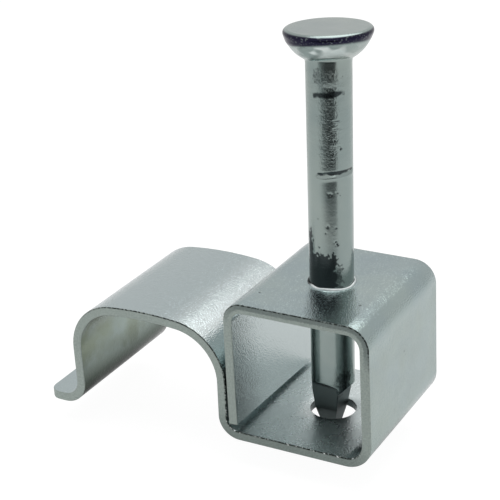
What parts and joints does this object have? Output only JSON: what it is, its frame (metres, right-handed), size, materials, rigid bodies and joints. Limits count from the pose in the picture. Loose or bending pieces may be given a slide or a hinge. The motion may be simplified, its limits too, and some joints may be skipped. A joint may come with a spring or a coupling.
{
  "type": "wire clip",
  "caption": "Folded sheet-metal wire clip: a square-shouldered arch over the cable, joined to a box section that holds a masonry nail.",
  "frame": {"origin": "on the nail's axis, in the plane of the base plate's underside, which lies against the wall", "axes": "+Z out of the wall along the nail, towards its head; +X along the strip, from the cable arch to the nail box; +Y across the strip, along the cable"},
  "size_m": [0.0256, 0.0116, 0.0301],
  "materials": {
    "clip": "bright zinc plating, blue passivated, satin",
    "nail": "bright zinc plating, polished shank"
  },
  "bodies": {
    "root": {"clip": "clip", "nail": "nail"}
  },
  "joints": []
}
